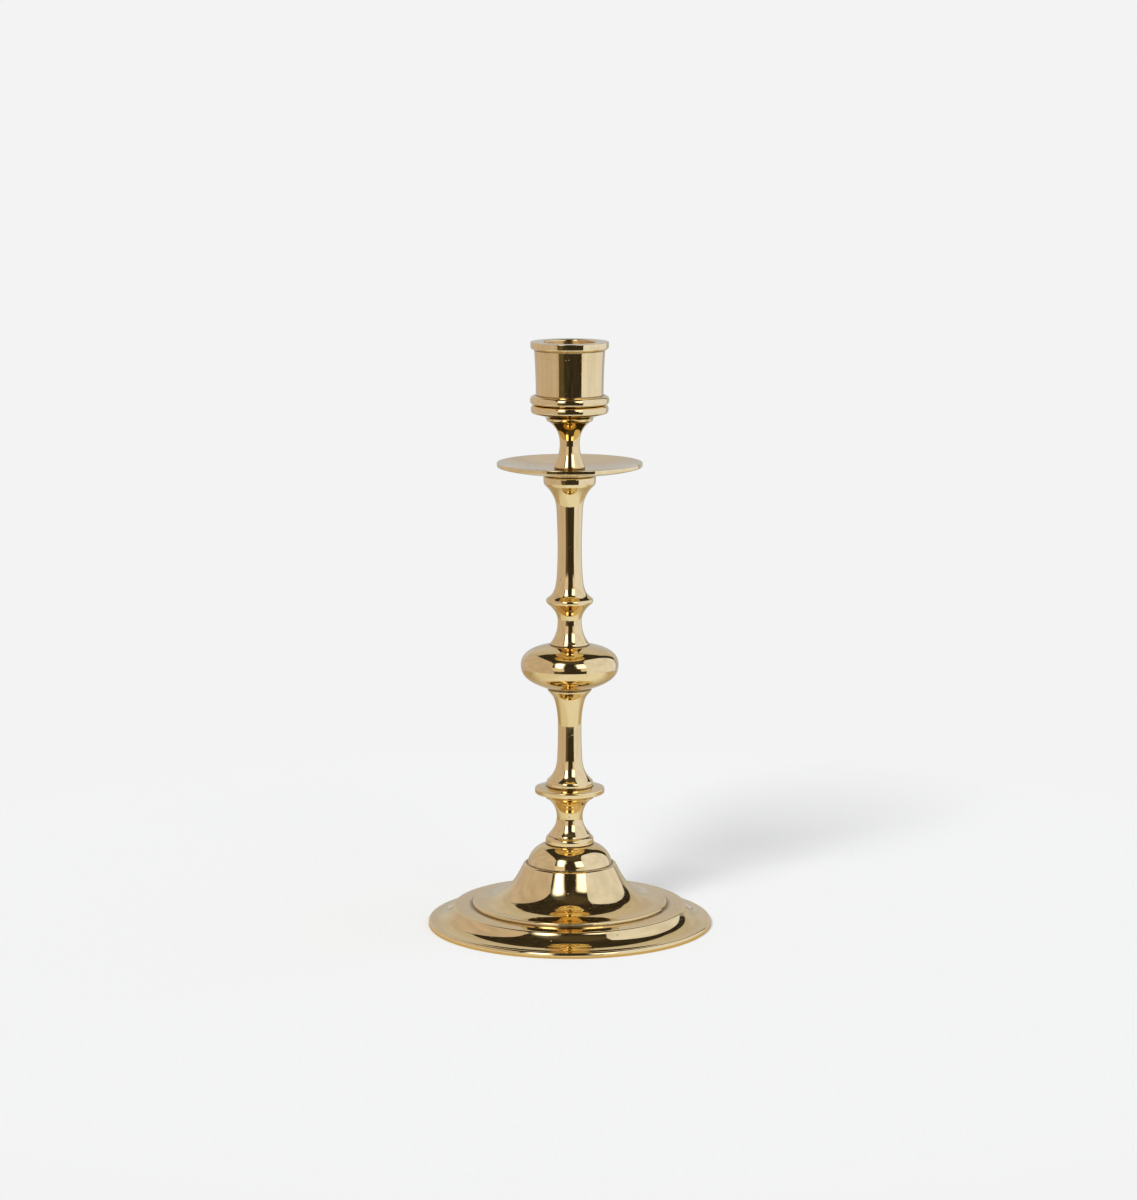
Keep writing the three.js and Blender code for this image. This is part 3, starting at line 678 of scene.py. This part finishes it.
def studio():
    """A dark room with soft lights and pale walls round the table, as the polished brass sees it."""
    world = bpy.data.worlds.new("studio")
    bpy.context.scene.world = world
    world.use_nodes = True
    nodes = Nodes(world.node_tree)
    direction = nodes.add("ShaderNodeTexCoord").outputs["Generated"]
    wobble = nodes.noise(direction, 3.0, 3.0)
    speckle = nodes.noise(direction, 14.0, 6.0, 0.7)
    light = nodes.blend(nodes.ramp(speckle, 0.42, 0.68), rgb(0.032, 0.027, 0.023), rgb(0.068, 0.06, 0.053))
    # Colour, softness of the edge, then the corners as azimuth and elevation. Later cards hide earlier ones.
    # In order: the ceiling, a low dim panel, the left and right far corners, the glow over the left lamp,
    # the two lamps, what each lights below it, the left wall, the right wall and its bright edge, then the
    # back wall and its darker foot.
    cards = [
        ((0.09, 0.07, 0.042), 0.2, [(-60, 50), (-75, 82), (120, 82), (80, 50), (10, 50)]),
        ((0.11, 0.085, 0.04), 0.12, [(-44, -40), (-44, 12), (-16, 12), (-16, -40)]),
        ((0.33, 0.3, 0.26), 0.05, [(-158, -60), (-160, 40), (-138, 44), (-135, -60)]),
        ((0.42, 0.4, 0.37), 0.06, [(128, -60), (128, 14), (152, 14), (152, -60)]),
        ((0.14, 0.13, 0.11), 0.1, [(-58, 40), (-52, 72), (-8, 70), (-13, 40)]),
        ((4.2, 4.1, 4.0), 0.2, [(-37, 16), (-58, 60), (-8, 62), (-13, 16)]),
        ((2.4, 2.3, 2.2), 0.13, [(16, 15), (13, 54), (52, 54), (48, 15)]),
        ((0.85, 0.74, 0.6), 0.06, [(-42, -3), (-45, 24), (-12, 24), (-11, -3)]),
        ((0.8, 0.75, 0.66), 0.06, [(26, -3), (24, 22), (44, 22), (45, -3)]),
        ((0.62, 0.53, 0.47), 0.02,
         [(-143, -60), (-152, 33), (-131, 51), (-80, 60), (-52, 52), (-36, -8), (-36, -60)]),
        ((0.86, 0.88, 0.97), 0.02,
         [(40, -60), (41, 40), (44, 49), (63, 66), (95, 70), (131, 50), (139, 15), (141, -60)]),
        ((1.0, 0.95, 0.8), 0.01, [(40, -60), (40.5, 12), (43, 12), (43, -60)]),
        ((0.6, 0.555, 0.46), 0.03, [(142, -60), (148, 42), (180, 50), (-149, 41), (-147, -60)]),
        ((0.545, 0.53, 0.415), 0.1, [(142, -60), (145, 10), (180, 12), (-149, 10), (-147, -60)]),
    ]
    for colour, soft, corners in cards:
        points = [aim(*corner) for corner in corners]
        middle = sum(points, Vector())
        mask = 1.0
        for a, b in zip(points, points[1:] + points[:1]):
            side = a.cross(b).normalized()
            if side.dot(middle) < 0:
                side = -side
            inside = nodes.ramp(nodes.dot(direction, side), 0.0, soft)
            mask = nodes.math("MULTIPLY", inside, mask)
        light = nodes.blend(mask, light, cool(colour))
    shade = nodes.ramp(wobble, 0.3, 0.7, 0.9, 1.08)
    lit = nodes.add("ShaderNodeBackground", None, Color=light, Strength=shade)
    plain = nodes.add("ShaderNodeBackground", None, Color=rgb(BACKDROP, BACKDROP, BACKDROP), Strength=1.0)
    seen = nodes.add("ShaderNodeLightPath").outputs["Is Camera Ray"]
    mixed = nodes.add("ShaderNodeMixShader", None, _0=seen, _1=lit, _2=plain)
    nodes.add("ShaderNodeOutputWorld", None, Surface=mixed)


def key_lamp():
    """A large soft lamp high at the left of the camera, for the shadow on the table."""
    data = bpy.data.lights.new("key_lamp", "SUN")
    data.energy = LAMP_STRENGTH
    data.angle = math.radians(LAMP_WIDTH_DEG)
    data.color = (1.0, 1.0, 0.94)
    lamp = bpy.data.objects.new("key_lamp", data)
    lamp.rotation_euler = aim(LAMP_AZIMUTH, LAMP_ELEVATION).to_track_quat("Z", "Y").to_euler()
    lamp.visible_glossy = False
    bpy.context.scene.collection.objects.link(lamp)


def table_top():
    """The pale round table. Its rim melts into the background, so that only the shadow shows."""
    material, nodes, where, shader = new_material("table_top")
    seen = nodes.add("ShaderNodeLightPath").outputs["Is Camera Ray"]
    outwards = nodes.add("ShaderNodeVectorMath", {"operation": "LENGTH"}, _0=where).outputs["Value"]
    x, y = nodes.add("ShaderNodeSeparateXYZ", None, Vector=where).outputs[:2]

    # What the brass sees of the table is painted: cool in front, painted shade behind the object, painted
    # shade and warmth to the left, and a painted contact shadow with warm bounced light near the base's rim.
    tint = nodes.blend(nodes.ramp(y, -0.05, 0.1), cool((1.0, 1.0, 0.94)), rgb(0.62, 0.56, 0.5))
    painted_shade_warmer = nodes.blend(1.0, tint, rgb(0.88, 0.84, 0.75), "MULTIPLY")
    tint = nodes.blend(nodes.ramp(x, -0.02, -0.15), tint, painted_shade_warmer)
    # Painted contact shadow: darker and warm close round the candlestick's foot.
    tint = nodes.blend(nodes.ramp(outwards, 0.076, 0.062), tint, rgb(0.72, 0.6, 0.42))
    tint = nodes.blend(seen, tint, rgb(1.0, 1.0, 1.0))

    # Puts the painted shade on what the brass sees. The camera sees the colour unchanged.
    def with_painted_shade(colour):
        return nodes.blend(1.0, colour, tint, "MULTIPLY")

    grain = nodes.noise(where, 500.0, 3.0)
    plain = nodes.blend(nodes.ramp(grain, 0.2, 0.8), rgb(0.40, 0.40, 0.40), rgb(0.42, 0.42, 0.42))
    nodes.put(shader, "Base Color", with_painted_shade(plain))
    shader.inputs["Roughness"].default_value = 1.0
    shader.inputs["Specular IOR Level"].default_value = 0.0

    # A painted pool of light: the table glows a little brighter inside the shadow, standing in for light the
    # brass throws.
    painted_pool_distance = nodes.add("ShaderNodeVectorMath", {"operation": "DISTANCE"}, _0=where, _1=(0.064, 0.108, 0.0))
    inside = nodes.ramp(painted_pool_distance.outputs["Value"], 0.06, 0.0)
    glow_with_painted_pool = nodes.blend(inside, rgb(*TABLE_GLOW), rgb(*(part * 1.1 for part in TABLE_GLOW)))
    nodes.put(shader, "Emission Color", with_painted_shade(glow_with_painted_pool))
    shader.inputs["Emission Strength"].default_value = 1.0
    rim = nodes.add("ShaderNodeEmission", None, Strength=1.0, Color=with_painted_shade(rgb(*(BACKDROP,) * 3)))
    fade = nodes.ramp(outwards, TABLE_FADE_START, TABLE_FADE_END)
    mixed = nodes.add("ShaderNodeMixShader", None, _0=fade, _1=shader, _2=rim)
    output = next(node for node in nodes.tree.nodes if node.bl_idname == "ShaderNodeOutputMaterial")
    nodes.put(output, "Surface", mixed)

    verts, faces = [(0.0, 0.0, 0.0)], []
    for ring in range(1, TABLE_RINGS + 1):
        radius = TABLE_RADIUS * ring / TABLE_RINGS
        for k in range(TABLE_SIDES):
            angle = 2 * math.pi * k / TABLE_SIDES
            verts.append((radius * math.cos(angle), radius * math.sin(angle), 0.0))
    for k in range(TABLE_SIDES):
        faces.append([0, 1 + k, 1 + (k + 1) % TABLE_SIDES])
    for ring in range(TABLE_RINGS - 1):
        inner, outer = 1 + ring * TABLE_SIDES, 1 + (ring + 1) * TABLE_SIDES
        for k in range(TABLE_SIDES):
            m = (k + 1) % TABLE_SIDES
            faces.append([inner + k, outer + k, outer + m, inner + m])
    floor = mesh_object("table_top", verts, faces, [material])


def camera():
    """The viewpoint: in front of the candlestick and above it, looking slightly down."""
    data = bpy.data.cameras.new("camera")
    data.sensor_width = 36.0
    data.sensor_fit = "AUTO"
    data.lens = CAMERA_LENS
    eye = bpy.data.objects.new("camera", data)
    eye.location = CAMERA_PLACE
    eye.rotation_euler = (math.radians(90 - CAMERA_DIP_DEG), 0, 0)
    bpy.context.scene.collection.objects.link(eye)
    bpy.context.scene.camera = eye


studio()
key_lamp()
table_top()
camera()
bpy.context.scene.view_settings.view_transform = "Standard"
